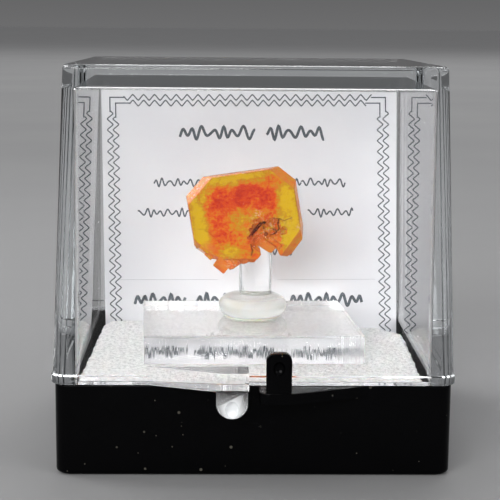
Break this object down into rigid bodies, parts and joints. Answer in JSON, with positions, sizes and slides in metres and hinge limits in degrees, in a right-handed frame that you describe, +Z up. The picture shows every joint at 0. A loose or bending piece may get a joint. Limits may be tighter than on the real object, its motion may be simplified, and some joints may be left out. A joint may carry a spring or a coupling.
{
  "type": "wulfenite crystal in a hinged display box",
  "caption": "Tabular orange wulfenite crystal on a clear rod stand, inside a small hinged display box with a clear lid, black base, foam and a plain bordered card.",
  "frame": {"origin": "middle of the base's underside, where the box rests", "axes": "+X across the box to the right as seen from the front, +Y from the front with the thumb tabs to the back with the hinge, +Z up"},
  "size_m": [0.0384, 0.0408, 0.0387],
  "materials": {
    "black_plastic": "moulded black polystyrene, glossy, with fine dust and light scratches",
    "clear_plastic": "moulded clear polystyrene, see-through, glossy",
    "white_foam": "fine-celled white foam with a grainy cut surface",
    "white_card": "smooth white card with a dark grey zigzag border and ruled lines",
    "clear_acrylic": "clear cast acrylic, polished",
    "cream_glue": "cream glue, satin",
    "orange_crystal": "translucent orange to olive-yellow crystal with a bright resinous lustre"
  },
  "bodies": {
    "base": {"base_tray": "black_plastic", "foam_insert": "white_foam", "label_card": "white_card", "stand_plate": "clear_acrylic", "stand_glue": "cream_glue", "stand_foot": "clear_acrylic", "stand_rod": "clear_acrylic", "wulfenite_crystal": "orange_crystal"},
    "lid": {"lid": "clear_plastic"}
  },
  "joints": [
    {"name": "lid_hinge", "type": "hinge", "parent": "base", "child": "lid", "pos_m": [0, 0.01915, 0.00882], "axis": [-1, 0, 0], "range_deg": [0, 110]}
  ]
}
